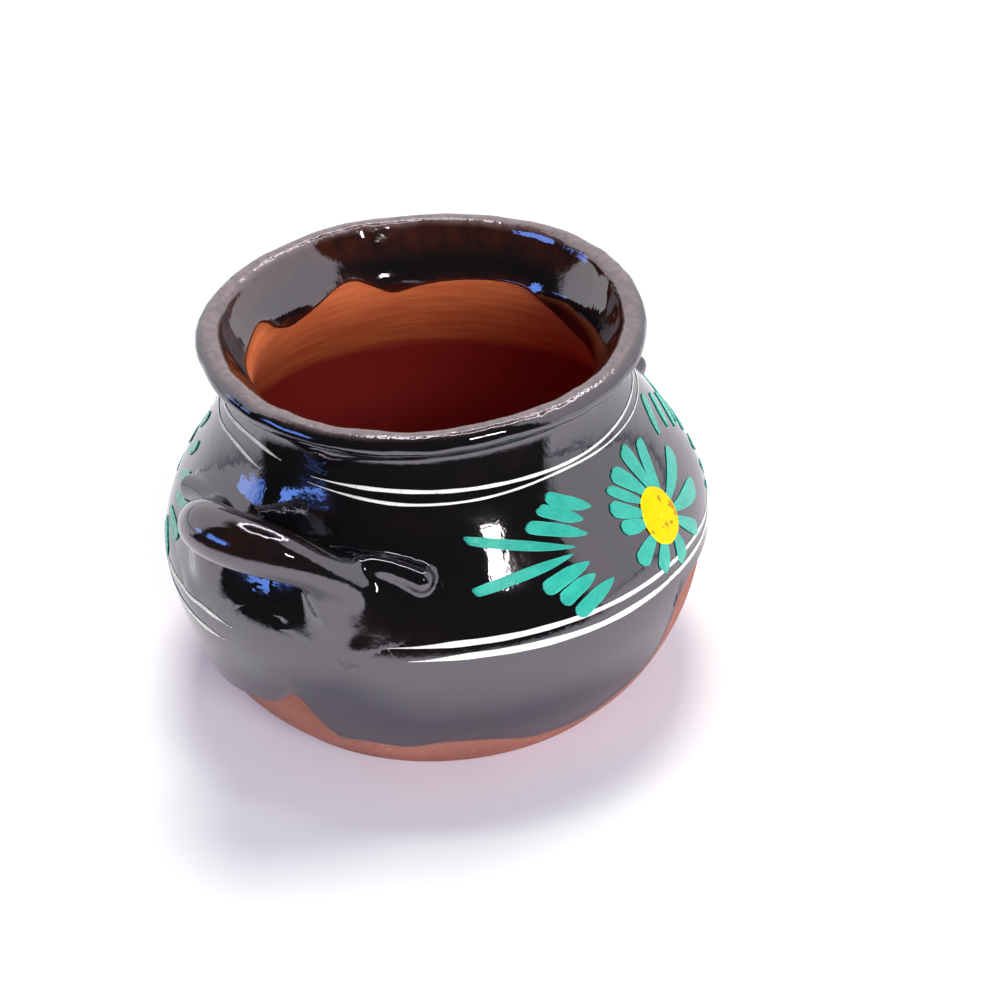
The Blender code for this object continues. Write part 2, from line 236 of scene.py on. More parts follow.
def lip_section():
    """Over the lip, from outside to inside."""
    outside = (rim_radius - edge_round, pot_height - edge_round)
    inside = (rim_radius - lip_width + lip_round, pot_height - lip_round)
    outer_edge = arc(outside, edge_round, -under_tilt, pi / 2, steps=16)
    inner_edge = arc(inside, lip_round, pi / 2, pi - funnel_tilt)
    return np.vstack([outer_edge, [(inside[0], pot_height)], inner_edge])


def inner_section():
    """From the lip down inside, where the neck is a funnel, to the edge of the floor."""
    mouth = lip_section()[-1]
    down = mouth - lip_pull * np.array([sin(funnel_tilt), cos(funnel_tilt)])
    neck = (bore_radius, bore_height)
    belly = (belly_radius - wall, belly_height)
    edge = (foot_radius - wall, floor)
    return np.vstack([
        bend(mouth, down, (neck[0], neck[1] + bore_pull_up), neck),
        bend(neck, (neck[0], neck[1] - bore_pull_down), (belly[0], belly[1] + belly_pull_up), belly),
        bend(belly, (belly[0], belly[1] - belly_pull_down), (edge[0] + floor_pull, edge[1]), edge),
    ])


def lifted(section, distance):
    """The section moved off the clay, square to itself."""
    along = np.gradient(section, axis=0)
    along /= np.linalg.norm(along, axis=1)[:, None]
    return section + distance * np.stack([along[:, 1], -along[:, 0]], 1)


def share_along(section):
    """How far along the section each of its points lies, as a share, and the whole length."""
    steps = np.linalg.norm(np.diff(section, axis=0), axis=1)
    return np.concatenate([[0.0], steps.cumsum()]) / steps.sum(), float(steps.sum())


outer = outer_section()
lip = lip_section()
inner = inner_section()
glazed = lifted(np.vstack([outer, lip, inner]), coat_lift)
glazed_wall = glazed[: len(outer)]
pot_width = 2 * glazed_wall[:, 0].max()
print("pot", round(1000 * pot_width, 1), "mm wide,", round(1000 * pot_height, 1), "mm high")

# %% [markdown]
# ## The wheel
# Clay and glaze are both surfaces of revolution, so one Geometry Nodes tree turns them. A modifier
# such as Screw would do for the clay, but the glaze also has to stop at a different height all the
# way round. The tree lays a flat grid over the section: across the grid is once round the pot, and
# up the grid is along the section, between two edges that may wander.

# %% Building and running trees
def new_tree(name, **inputs):
    """An empty tree with its named inputs. Returns its first wire, the geometry that comes in."""
    tree = bpy.data.node_groups.new(name, "GeometryNodeTree")
    tree.interface.new_socket("Geometry", in_out="INPUT", socket_type="NodeSocketGeometry")
    for label, kind in inputs.items():
        tree.interface.new_socket(label, in_out="INPUT", socket_type=f"NodeSocket{kind}")
    tree.interface.new_socket("Geometry", in_out="OUTPUT", socket_type="NodeSocketGeometry")
    return Wire(tree).node("NodeGroupInput")


def end_tree(start, shape):
    """Every tree ends in real faces with a material."""
    real = start.node("GeometryNodeRealizeInstances", None, {"Geometry": shape})
    smooth = start.node("GeometryNodeSetShadeSmooth", None, {"Geometry": real})
    finish = {"Geometry": smooth, "Material": start.other("Finish")}
    painted = start.node("GeometryNodeSetMaterial", None, finish)
    start.node("NodeGroupOutput", None, {"Geometry": painted})
    return start.tree


def run_tree(piece, tree, **values):
    """Adds the tree to a piece, with its inputs set by their sockets' identifiers."""
    modifier = piece.modifiers.new(tree.name, "NODES")
    modifier.node_group = tree
    for socket in tree.interface.items_tree:
        if socket.in_out == "INPUT" and socket.name in values:
            modifier[socket.identifier] = values[socket.name]


def make_plain(piece):
    """Turns what the modifiers show into the piece's own mesh."""
    bpy.context.view_layer.update()
    graph = bpy.context.evaluated_depsgraph_get()
    mesh = bpy.data.meshes.new_from_object(piece.evaluated_get(graph), depsgraph=graph)
    piece.modifiers.clear()
    piece.data = mesh
    mesh.name = piece.name
    print(piece.name, "has", len(mesh.polygons), "faces")


def new_piece(name, points, edges=(), faces=()):
    mesh = bpy.data.meshes.new(name)
    mesh.from_pydata([tuple(p) for p in points], list(edges), list(faces))
    piece = bpy.data.objects.new(name, mesh)
    bpy.context.scene.collection.objects.link(piece)
    return piece


def section_piece(name, section):
    """A piece that starts as the bare line of a section."""
    points = [(radius, 0.0, height) for radius, height in section]
    return new_piece(name, points, [(i, i + 1) for i in range(len(points) - 1)])


print("trees can be built")

# %% The wheel's tree
BEAD_FADE = 0.0009
LIP_RUB = 0.0010, 0.0026
INSIDE_FROM = 0.0020
THIN_RUN = 0.0030, 0.0100
THIN_INSIDE = 0.6
WELD = 1e-6


def wheel_tree(name, edges=None):
    """Turns a section once round. edges gives the shares of the section where a coat ends."""
    sizes = {"Turns": "Int", "Rows": "Int", "Bead": "Float", "Length": "Float", "Lip": "Float"}
    start = new_tree(name, **sizes, Finish="Material")
    size = {"Size X": 1.0, "Size Y": 1.0}
    size |= {"Vertices X": start.other("Turns") + 1, "Vertices Y": start.other("Rows")}
    grid = start.node("GeometryNodeMeshGrid", None, size)
    around, up, _ = grid.other("UV Map").parts()
    angle = around * (2 * pi)
    share = up
    if edges:
        low, high = [
            start.node("ShaderNodeFloatCurve", {"points": points}, {"Value": around}) for points in edges
        ]
        share = low + (high - low) * up
        to_edge = start.sum("MINIMUM", share - low, high - share) * start.other("Length")
    line = start.node("GeometryNodeMeshToCurve", None, {"Mesh": start})
    spot = {"Curves": line, "Factor": share}
    found = start.node("GeometryNodeSampleCurve", {"mode": "FACTOR"}, spot, "Position")
    radius, _, height = found.parts()
    east = radius * start.sum("SINE", angle, 0)
    south = radius * start.sum("COSINE", angle, 0)
    place = start.node("ShaderNodeCombineXYZ", None, {"X": east, "Y": south * -1, "Z": height})
    shape = start.node("GeometryNodeSetPosition", None, {"Geometry": grid, "Position": place})
    if edges:
        swell = start.sum("EXPONENT", to_edge * (-1 / BEAD_FADE), 0)
        bead = start.node("GeometryNodeInputNormal") * (swell * start.other("Bead"))
        shape = start.node("GeometryNodeSetPosition", None, {"Geometry": shape, "Offset": bead})
    past_lip = (share - start.other("Lip")) * start.other("Length")
    on_lip = 1 - start.sum("ABSOLUTE", past_lip, 0).step(*LIP_RUB)
    inside = past_lip.step(0.0, INSIDE_FROM)
    marks = {"lip": on_lip, "inside": inside}
    if edges:
        thin_inside = THIN_INSIDE * inside * (1 - past_lip.step(*THIN_RUN))
        marks["thin"] = start.sum("MAXIMUM", thin_inside, swell)
    for label, value in marks.items():
        kept = {"Geometry": shape, "Name": label, "Value": value}
        shape = start.node("GeometryNodeStoreNamedAttribute", {"data_type": "FLOAT"}, kept)
    shape = start.node("GeometryNodeMergeByDistance", None, {"Geometry": shape, "Distance": WELD})
    return end_tree(start, shape)


print("the wheel is ready")

# %% [markdown]
# ## A hand-made shape
# No hand-thrown pot is truly round. One more tree moves every point a little, by soft noise that
# depends only on the place. The lip gets finer lumps, and sags a little on one side, as the soft
# clay did before it was fired. Every piece goes through the same tree, so the glaze, the clay under
# it and the handles bend together and keep touching. The foot is left flat, so that the pot stands.

# %% Unevenness
FLAT_FOOT = 0.012
LUMP_SIZE = 0.0009
LUMP_SCALE = 150.0
LUMP_HEIGHTS = 0.072, 0.077
LIP_SAG = 0.0023
SAG_SIDE = radians(-38)
SAG_SPREAD = -0.5, 0.9
SAG_HEIGHTS = 0.064, 0.078
NO_DRIFT = 0.5, 0.5, 0.5


def uneven_tree():
    start = new_tree("thrown by hand", Amount="Float", Scale="Float", Seed="Float", Finish="Material")
    place = start.node("GeometryNodeInputPosition")
    east, north, height = place.parts()
    drift = place.noise(start.other("Scale"), 1.0, start.other("Seed"), out=1)
    offset = (drift - NO_DRIFT) * (height.step(0.0, FLAT_FOOT) * start.other("Amount"))
    lumps = place.noise(LUMP_SCALE, 1.0, start.other("Seed") + 1, out=1)
    offset = offset + (lumps - NO_DRIFT) * (height.step(*LUMP_HEIGHTS) * LUMP_SIZE)
    reach = start.sum("SQRT", east * east + north * north, 0) + WELD
    towards = (east * sin(SAG_SIDE) - north * cos(SAG_SIDE)) / reach
    sag = towards.step(*SAG_SPREAD) * height.step(*SAG_HEIGHTS)
    offset = offset + start.node("ShaderNodeCombineXYZ", None, {"Z": sag * -LIP_SAG})
    shape = start.node("GeometryNodeSetPosition", None, {"Geometry": start, "Offset": offset})
    return end_tree(start, shape)


UNEVEN = uneven_tree()


def throw_by_hand(piece, finish):
    run_tree(piece, UNEVEN, Amount=0.0016, Scale=28.0, Seed=4.0, Finish=finish)


def finish_piece(piece, slot, *nodes):
    """Parents the piece to the pot's root, so that it moves with the pot, and hides these nodes, which it
    shows in their place.
    """
    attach(piece, "root")
    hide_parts(*nodes)


print("unevenness ready")

# %% [markdown]
# ## Finishes
# Under the glaze is red clay, bare and gritty. It shows inside and at the foot. The glaze is almost
# black, a glass with a strong, mirror-like gloss, and turns brown where it is thin. White, teal and
# yellow slips are painted on it. Photographs of clay and glaze could be laid on as textures, but they
# would carry the light they were taken in. Here each finish gets its colour, gloss and grain from
# noise on the object's own coordinates, so it stays in place from every side.

# %% A new material
def new_finish(name, roughness, index=1.5):
    material = bpy.data.materials.new(name)
    material.use_nodes = True
    shader = material.node_tree.nodes["Principled BSDF"]
    shader.inputs["Roughness"].default_value = roughness
    shader.inputs["IOR"].default_value = index
    start = Wire(material.node_tree).node("ShaderNodeTexCoord", out="Object")
    return material, shader, start


def feed(shader, name, wire):
    wire.tree.links.new(wire.socket, shader.inputs[name])


def bump(shader, height, distance):
    sockets = {"Height": height, "Distance": distance, "Strength": 1.0}
    feed(shader, "Normal", height.node("ShaderNodeBump", None, sockets))


# %% Red clay
# Below this height inside, the clay is painted dark red, as painted shade deep in the pot.
SHADE_LINE_HEIGHT = 0.0480
SHADE_LINE_BLUR = 0.0022
# Clay colour partly painted light: outside it is tinted pink for the cool light on it, inside it is painted a
# brighter orange than its shade.
PINK_CLAY_IN_COOL_LIGHT = (0.32, 0.115, 0.092), (0.42, 0.165, 0.132)
PALE_GRIT = 0.56, 0.29, 0.20
DARK_GRIT = 0.25, 0.070, 0.040
ORANGE_CLAY_PAINTED_BRIGHT = (0.50, 0.112, 0.038), (0.64, 0.170, 0.062)
SHADED_CLAY_INSIDE = 0.340, 0.030, 0.026


def red_clay():
    """Bare clay, gritty: pink outside, tinted for a cool light on it, and orange inside, painted brighter
    than its shade; below a line deep inside, dark red painted shade.
    """
    material, shader, place = new_finish("red_clay", 0.9)
    height = place.parts()[2]
    inside = place.node("ShaderNodeAttribute", {"attribute_name": "inside"}, out="Fac")
    rings = (place * (1.0, 1.0, 9.0)).noise(70.0, 4.0, seed=2.0)
    grit = place.noise(1100.0, 3.0, seed=5.0)
    patches = place.noise(45.0, 3.0, seed=8.0)
    level = height + 0.004 * (patches - 0.5) + 0.0012 * (rings - 0.5)
    # Painted shade: below the line, the inside is painted dark red.
    painted_shade = inside * (1 - level.step(SHADE_LINE_HEIGHT - SHADE_LINE_BLUR, SHADE_LINE_HEIGHT + SHADE_LINE_BLUR))
    bare = patches.step(0.3, 0.7).mix(*PINK_CLAY_IN_COOL_LIGHT)
    bare = grit.step(0.60, 0.72).mix(bare, PALE_GRIT)
    bare = (1 - grit.step(0.27, 0.37)).mix(bare, DARK_GRIT)
    # Painted light: the inside clay is painted brighter and more orange than the outside clay.
    painted_bright_inside = rings.step(0.3, 0.7).mix(*ORANGE_CLAY_PAINTED_BRIGHT)
    colour = inside.mix(bare, painted_bright_inside)
    colour = painted_shade.mix(colour, SHADED_CLAY_INSIDE)
    feed(shader, "Base Color", colour)
    feed(shader, "Roughness", 0.85 + 0.1 * grit - 0.25 * painted_shade)
    bump(shader, rings * (0.5 - 0.3 * painted_shade) + grit * 0.35, 0.0005)
    return material


clay_finish = red_clay()
print("clay is washed below", round(1000 * SHADE_LINE_HEIGHT, 1), "mm")

# %% Black glaze
GLAZE_BLACK = 0.0045, 0.0040, 0.0050
GLAZE_BROWN = 0.055, 0.012, 0.006
RUBBED_GREY = 0.170, 0.112, 0.112
GLOSS_TINT = 0.95, 0.89, 1.0, 1.0


def black_glaze():
    """Glossy and almost black: brown where it is thin, rubbed grey and rough along the lip."""
    material, shader, place = new_finish("black_glaze", 0.05, index=2.25)
    lip = place.node("ShaderNodeAttribute", {"attribute_name": "lip"}, out="Fac")
    thin = place.node("ShaderNodeAttribute", {"attribute_name": "thin"}, out="Fac")
    smear = place.noise(70.0, 3.0, seed=3.0)
    streak = (place * (1.0, 1.0, 0.25)).noise(300.0, 2.0, seed=4.0)
    peel = place.noise(110.0, 1.5, seed=6.0)
    speck = place.noise(520.0, 2.0, seed=9.0)
    grain = place.noise(1300.0, 2.0, seed=10.0)
    shader.inputs["Specular Tint"].default_value = GLOSS_TINT
    brown = thin * (0.35 + 0.9 * streak.step(0.3, 0.7)) + 0.12 * smear.step(0.52, 0.75)
    colour = brown.mix(GLAZE_BLACK, GLAZE_BROWN)
    rubbed = lip * (0.45 + 0.40 * speck.step(0.35, 0.65))
    colour = rubbed.mix(colour, RUBBED_GREY)
    feed(shader, "Base Color", colour)
    feed(shader, "Roughness", 0.03 + 0.10 * smear.step(0.35, 0.7) + 0.12 * rubbed)
    bump(shader, peel * 0.5 + speck * (0.16 + 0.60 * lip) + grain * 0.02, 0.0003)
    return material


glaze_finish = black_glaze()
print(glaze_finish.name, "has", len(glaze_finish.node_tree.nodes), "nodes")

# %% Painted slips
FLECK_BROWN = 0.32, 0.17, 0.02


def painted_slip(name, colour, dark, roughness, index=1.6, crackle=0.0, flecks=0.0):
    """Thick slip: streaks of the brush run along the stroke's own map; its sides are raised a little and
    painted paler, a painted highlight for light caught on the raised edge.
    """
    material, shader, place = new_finish(name, roughness, index)
    mark = place.node("ShaderNodeUVMap")
    across = mark.parts()[1]
    streaks = (mark * (4.0, 14.0, 1.0)).noise(1.0, 2.0, seed=1.0)
    cloud = place.noise(300.0, 2.0, seed=2.0)
    pits = 1 - place.noise(1000.0, 1.0, seed=3.0).step(0.21, 0.25)
    side = place.sum("ABSOLUTE", across - 0.5, 0).step(0.40, 0.49)
    painted = (streaks * 0.5 + cloud * 0.5).step(0.30, 0.70).mix(dark, colour)
    brown = flecks * place.noise(420.0, 3.0, seed=7.0).step(0.58, 0.64)
    painted = brown.mix(painted, FLECK_BROWN)
    # Painted highlight: the sides of the stroke are painted paler, as if their raised edge caught the light.
    painted = (side * 0.6).mix(painted, [min(1.0, 1.25 * c + 0.03) for c in colour])
    cells = {"Vector": place, "Scale": 130.0}
    crack = place.node("ShaderNodeTexVoronoi", {"feature": "DISTANCE_TO_EDGE"}, cells)
    cracked = crackle * (1 - crack.step(0.006, 0.018))
    flaw = place.sum("MAXIMUM", pits, cracked)
    feed(shader, "Base Color", flaw.mix(painted, [c * 0.2 for c in dark]))
    feed(shader, "Roughness", roughness + 0.15 * cloud)
    bump(shader, streaks * 0.4 + side * 0.4 - flaw * 0.6, 0.0002)
    return material


white_finish = painted_slip("white_slip", (0.98, 0.98, 0.98), (0.90, 0.90, 0.92), 0.2, crackle=0.3)
teal_finish = painted_slip("teal_slip", (0.028, 0.48, 0.38), (0.010, 0.34, 0.28), 0.2)
yellow_finish = painted_slip("yellow_slip", (1.0, 0.64, 0.0), (0.95, 0.54, 0.0), 0.5, 1.25, flecks=0.8)
print("paints:", white_finish.name, teal_finish.name, yellow_finish.name)

# %% [markdown]
# ## The clay body
# Bowl, shoulder, neck and rim are separate pieces of clay in the solid model, and the potter's wet
# fingers have closed the seams, so here one turned surface stands for all four. It runs from the
# middle of the underside, up the outside, over the lip and down to the middle of the floor.

# %% Turn the clay
def make_clay():
    section = np.vstack([[(0.0, 0.0)], outer, lip, inner, [(0.0, floor)]])
    clay = section_piece("clay_body", section)
    share, length = share_along(section)
    sizes = {"Turns": 144, "Rows": 260, "Length": length, "Lip": float(share[section[:, 1].argmax()])}
    run_tree(clay, wheel_tree("clay on the wheel"), Finish=clay_finish, **sizes)
    throw_by_hand(clay, clay_finish)
    make_plain(clay)
    finish_piece(clay, "red_clay", "lower_bowl", "shoulder_ring", "neck_collar", "rim_coil")


make_clay()

# %% [markdown]
# ## The glaze coat
# The pot was dipped in glaze with the mouth down, a little askew: the coat stops well above the foot
# on one side and almost reaches it on another, and inside it ends in a wavy run below the lip. Those
# two edges are drawn by a few places round the pot, as degrees from the side that the camera sees and
# heights in millimetres, and a Float Curve node makes a smooth edge of them. The camera stands to the
# left of the painted front, by the angle that is named first.

# %% Edges of the coat
VIEW_SIDE = -56.3
FOOT_EDGE = [
    (-47, 15.4), (-40, 17.8), (-36, 20.6), (-33, 23.0), (-31, 20.0), (-28, 15.2), (-25, 12.2), (-18, 12.9),
    (-10, 12.3), (-2, 13.9), (8, 12.9), (19, 9.6), (30, 9.2), (41, 12.6), (51, 18.3), (55, 26.3), (62, 31.5),
    (75, 31), (95, 24), (120, 13), (150, 9), (185, 12), (215, 8), (250, 15), (285, 12),
]
MOUTH_EDGE = [
    (-84, 71.8), (-99, 71.6), (-111, 71.9), (-117, 70.9), (-120, 68.7), (-129, 67.0), (-140, 68.1),
    (-150, 70), (-155, 70.5), (-165, 67.9), (-171, 66.3), (-180, 67.3), (-202, 68.6), (-217, 68.9),
    (-230, 66.7), (-246, 63.5), (-270, 63), (-295, 67), (-320, 69), (-345, 66),
]

COAT_LOWEST = 0.004
ROWS_INSIDE = 70
BEAD = 0.00025
SKIN = glazed[glazed_wall[:, 1].searchsorted(COAT_LOWEST):]
SKIN_SHARE, SKIN_LENGTH = share_along(SKIN)
LIP_AT = SKIN[:, 1].argmax()


def edge_points(places, inside):
    """Turns degrees and heights into shares of a turn and shares of the section."""
    rows = slice(LIP_AT, LIP_AT + ROWS_INSIDE) if inside else slice(0, LIP_AT)
    heights, shares = SKIN[rows, 1], SKIN_SHARE[rows]
    order = heights.argsort()
    points = []
    for degrees, height in places:
        turn = (degrees + VIEW_SIDE) / 360 % 1
        points.append((turn, float(np.interp(height / 1000, heights[order], shares[order]))))
    points.sort()
    closing = (points[0][1] + points[-1][1]) / 2
    return [(0.0, closing), *points, (1.0, closing)]


def make_glaze():
    edges = edge_points(FOOT_EDGE, inside=False), edge_points(MOUTH_EDGE, inside=True)
    glaze = section_piece("glaze_skin", SKIN)
    tree = wheel_tree("glaze on the wheel", edges)
    sizes = {"Turns": 180, "Rows": 220, "Length": SKIN_LENGTH, "Lip": float(SKIN_SHARE[LIP_AT])}
    run_tree(glaze, tree, Finish=glaze_finish, Bead=BEAD, **sizes)
    coat = glaze.modifiers.new("thickness of the coat", "SOLIDIFY")
    coat.thickness = 0.9 * coat_lift
    coat.offset = -1.0
    throw_by_hand(glaze, glaze_finish)
    make_plain(glaze)
    finish_piece(glaze, "black_glaze", "glaze_coat")
    return glaze


glaze = make_glaze()

# %% [markdown]
# ## The handles
# Each handle is a roll of clay bent into a bow. Its ends are pressed on the shoulder: a leg runs out
# down the wall, a thin tail along it, and some clay is wiped flat between them, so that there is no
# edge where roll and wall meet. Joining meshes would leave hard corners. Instead the shape is a field:
# the distances to the wall and to each roll, melted into one. A net of small faces is laid where that
# field is zero. Only what stands proud of the wall is kept, with a shallow root in the wall below it,
# so its skirt runs out on the wall without a step.

# %% Distances to wall and roll
WALL_SLOPE = np.gradient(glazed_wall[:, 0], glazed_wall[:, 1])
WALL_FACING = 1 / np.sqrt(1 + WALL_SLOPE**2)


def wall_radius(height):
    return np.interp(height, glazed_wall[:, 1], glazed_wall[:, 0])


def wall_distance(points):
    height = points[:, 2]
    off = np.hypot(points[:, 0], points[:, 1]) - wall_radius(height)
    return off * np.interp(height, glazed_wall[:, 1], WALL_FACING)


def ease(t):
    t = np.clip(t, 0.0, 1.0)
    return t * t * (3 - 2 * t)


def on_wall(angle, height, lift):
    """A place off the glazed wall, with the angle measured from the front."""
    slope = np.interp(height, glazed_wall[:, 1], WALL_SLOPE)
    facing = np.interp(height, glazed_wall[:, 1], WALL_FACING)
    radius = wall_radius(height) + lift * facing
    return np.stack([radius * np.sin(angle), -radius * np.cos(angle), height - lift * facing * slope], -1)


def roll_distance(points, path, roll):
    nearest = np.full(len(points), 1.0)
    for a, b, roll_a, roll_b in zip(path, path[1:], roll, roll[1:]):
        along = b - a
        t = np.clip((points - a) @ along / (along @ along), 0.0, 1.0)
        away = np.linalg.norm(points - a - t[:, None] * along, axis=1)
        nearest = np.minimum(nearest, away - roll_a - (roll_b - roll_a) * t)
    return nearest


def melted(first, second, width):
    """The nearer of two distances, rounded where they are alike."""
    blend = np.clip(1 - np.abs(first - second) / width, 0.0, 1.0)
    return np.minimum(first, second) - blend**3 * width / 6


wall_foot, wall_top = 1000 * glazed_wall[[0, -1], 1]
print("the wall is known from", round(wall_foot, 1), "to", round(wall_top, 1), "mm up")

# %% The bow
HANDLE_ROOT = 0.0506
ROLL_STEPS = 25
BOW_REACH = 0.0215
BOW_LIFT = 0.0142
BOW_CURVE = 1.35
CROWN_ROLL = 0.0054
CROWN_RISE = 0.0010
BOW_END_ROLL = 0.0030
BOW_END_DROP = 0.0045


def bow_roll(facing):
    """Middle line and radius of the bow: it stands off the wall, and its ends turn down to it."""
    along = np.linspace(-BOW_REACH, BOW_REACH, 2 * ROLL_STEPS - 1)
    bow = (1 - (along / BOW_REACH) ** 2) ** BOW_CURVE
    lift = BOW_LIFT * bow - BOW_END_ROLL * (1 - bow)
    roll = BOW_END_ROLL + (CROWN_ROLL - BOW_END_ROLL) * bow
    height = HANDLE_ROOT + CROWN_RISE * bow - BOW_END_DROP * (1 - bow) ** 2
    return on_wall(facing + along / wall_radius(HANDLE_ROOT), height, lift), roll


print("the bow spans", round(2000 * BOW_REACH, 1), "mm,", round(1000 * HANDLE_ROOT, 1), "mm up the wall")

# %% Legs, tails and smears
LEG_FROM, LEG_SPREAD = 0.0115, 0.0065
LEG_TOP, LEG_LENGTH = 0.0015, 0.0115
LEG_LIFT = 0.0068
LEG_ROLL, LEG_TAPER = 0.0034, 0.0006
TAIL_FROM, TAIL_TO = 0.012, 0.0302
TAIL_RAISE, TAIL_ARCH, TAIL_HOOK = 0.0003, 0.0010, 0.0012
TAIL_LIFT, TAIL_PROUD = 0.0035, 0.0005
TAIL_ROLL = 0.0021
SMEAR_TO = TAIL_TO - 0.008
SMEAR_DROP, SMEAR_CLIMB = 0.0035, 0.001
SMEAR_PROUD, SMEAR_FADE = 0.0010, 0.0003
SMEAR_ROLL = 0.0200


def leg_roll(facing, side):
    """Middle line and radius of the leg under the bow, that runs out down the wall."""
    s = np.linspace(0, 1, ROLL_STEPS)
    along = side * (LEG_FROM + LEG_SPREAD * s)
    height = HANDLE_ROOT - LEG_TOP - LEG_LENGTH * s
    lift = LEG_LIFT * (1 - ease(s / 0.9)) - LEG_ROLL
    return on_wall(facing + along / wall_radius(HANDLE_ROOT), height, lift), LEG_ROLL - LEG_TAPER * s


def tail_roll(facing, side):
    """Middle line and radius of the tail that was pressed along the shoulder."""
    s = np.linspace(0, 1, ROLL_STEPS)
    along = side * (TAIL_FROM + (TAIL_TO - TAIL_FROM) * s)
    height = HANDLE_ROOT + TAIL_RAISE + TAIL_ARCH * np.sin(pi * s) - TAIL_HOOK * s**4
    lift = TAIL_LIFT * (1 - ease(s / 0.4)) + TAIL_PROUD
    roll = TAIL_ROLL * (1.2 - 0.25 * np.sin(pi * s))
    return on_wall(facing + along / wall_radius(HANDLE_ROOT), height, lift), roll


def smear_roll(facing, side):
    """Middle line and radius of the clay that was wiped down below the tail."""
    s = np.linspace(0, 1, ROLL_STEPS)
    along = side * (TAIL_FROM + (SMEAR_TO - TAIL_FROM) * s)
    height = HANDLE_ROOT - SMEAR_DROP + SMEAR_CLIMB * s
    sunk = SMEAR_PROUD - SMEAR_ROLL - SMEAR_FADE * s
    return on_wall(facing + along / wall_radius(HANDLE_ROOT), height, sunk), np.full(len(s), SMEAR_ROLL)


print("each tail runs out", round(1000 * TAIL_TO, 1), "mm beside the handle's middle")

# %% A net over a field
def net_over(field, low, high, cell):
    """Points and four-sided faces where a field is zero, one point in each cell that it crosses."""
    axes = [np.arange(a, b + cell, cell) for a, b in zip(low, high)]
    corners = np.stack(np.meshgrid(*axes, indexing="ij"), -1)
    value = field(corners.reshape(-1, 3)).reshape(corners.shape[:3])
    inside = value < 0
    shape = tuple(n - 1 for n in inside.shape)
    total = np.zeros((*shape, 3))
    count = np.zeros(shape)

    def shifted(grid, corner):
        return grid[tuple(slice(c, c + n) for c, n in zip(corner, shape))]

    for axis in range(3):
        for side in np.ndindex(2, 2):
            first = np.insert(side, axis, 0)
            last = np.insert(side, axis, 1)
            a, b = shifted(value, first), shifted(value, last)
            crossed = shifted(inside, first) != shifted(inside, last)
            t = np.where(crossed, a / np.where(crossed, a - b, 1.0), 0.0)[..., None]
            point = shifted(corners, first) * (1 - t) + shifted(corners, last) * t
            total += np.where(crossed[..., None], point, 0.0)
            count += crossed
    used = count > 0
    number = np.full(shape, -1)
    number[used] = np.arange(used.sum())
    points = total[used] / count[used][:, None]
    faces = []
    for axis in range(3):
        ends = np.moveaxis(inside, axis, 0)
        cells = np.moveaxis(number, axis, 0)
        crossed = (ends[1:] != ends[:-1])[:, 1:-1, 1:-1]
        around = [cells[:, :-1, :-1], cells[:, 1:, :-1], cells[:, 1:, 1:], cells[:, :-1, 1:]]
        quads = np.stack([ring[crossed] for ring in around], 1)
        flip = ends[:-1, 1:-1, 1:-1][crossed] == (axis == 1)
        quads[flip] = quads[flip][:, ::-1]
        faces.append(quads)
    return points, np.vstack(faces)


def settle_on(field, points, rounds=3, probe=1e-5):
    """Moves the points straight on to the zero of the field."""
    for _ in range(rounds):
        value = field(points)
        slope = np.stack([(field(points + probe * axis) - value) / probe for axis in np.eye(3)], 1)
        points = points - value[:, None] * slope / (slope**2).sum(1)[:, None]
    return points


print("the net is ready")

# %% Lay the handles
HANDLE_SIDES = {"left": radians(-97), "right": radians(98)}
NET_CELL = 0.0008
ROOT_DEPTH = 0.0016
SKIRT_DEPTH = 0.00001
MELT = 0.0048
TAIL_MELT = 0.0020
SMEAR_MELT = 0.0032
LOW_MELT = 0.8
LOW_FROM, LOW_FADE = 0.002, 0.008
THIN_CROWN = 0.12
CROWN_FROM, CROWN_FADE = 0.008, 0.010
SHARP_EDGE = radians(50)


def mark_thin(handle, proud):
    """The glaze ran off where the handle stands proudest and is thin there."""
    thin = handle.data.attributes.new("thin", "FLOAT", "POINT")
    thin.data.foreach_set("value", THIN_CROWN * ease((proud - CROWN_FROM) / CROWN_FADE))


def make_handle(side, facing):
    bow = bow_roll(facing)
    smears, legs, tails = [
        [roll(facing, end) for end in (-1, 1)] for roll in (smear_roll, leg_roll, tail_roll)
    ]

    def skin(points):
        shape = wall_distance(points)
        for rolls, melt in ((smears, SMEAR_MELT), (legs, MELT), (tails, TAIL_MELT)):
            for path, roll in rolls:
                shape = melted(shape, roll_distance(points, path, roll), melt)
        low_down = ease((HANDLE_ROOT - LOW_FROM - points[:, 2]) / LOW_FADE)
        return melted(shape, roll_distance(points, *bow), MELT * (1 + LOW_MELT * low_down)) + SKIRT_DEPTH

    def solid(points):
        off, shape = wall_distance(points), skin(points)
        return np.max([shape, -ROOT_DEPTH - off, shape - off - 0.8 * SKIRT_DEPTH], axis=0)

    paths = np.vstack([path for path, _ in (bow, *legs, *tails)])
    room = CROWN_ROLL + MELT
    points, faces = net_over(solid, paths.min(0) - room, paths.max(0) + room, NET_CELL)
    proud = wall_distance(points) > SKIRT_DEPTH
    points[proud] = settle_on(skin, points[proud])
    handle = new_piece(f"handle_{side}_roll", points, faces=faces.tolist())
    mark_thin(handle, wall_distance(points))
    shape = bmesh.new()
    shape.from_mesh(handle.data)
    bmesh.ops.recalc_face_normals(shape, faces=shape.faces)
    print(handle.name, "has", sum(edge.is_boundary for edge in shape.edges), "open edges")
    shape.to_mesh(handle.data)
    shape.free()
    throw_by_hand(handle, glaze_finish)
    make_plain(handle)
    handle.data.set_sharp_from_angle(angle=SHARP_EDGE)
    finish_piece(handle, "black_glaze", f"handle_{side}")
    return handle


handles = [make_handle(side, facing) for side, facing in HANDLE_SIDES.items()]

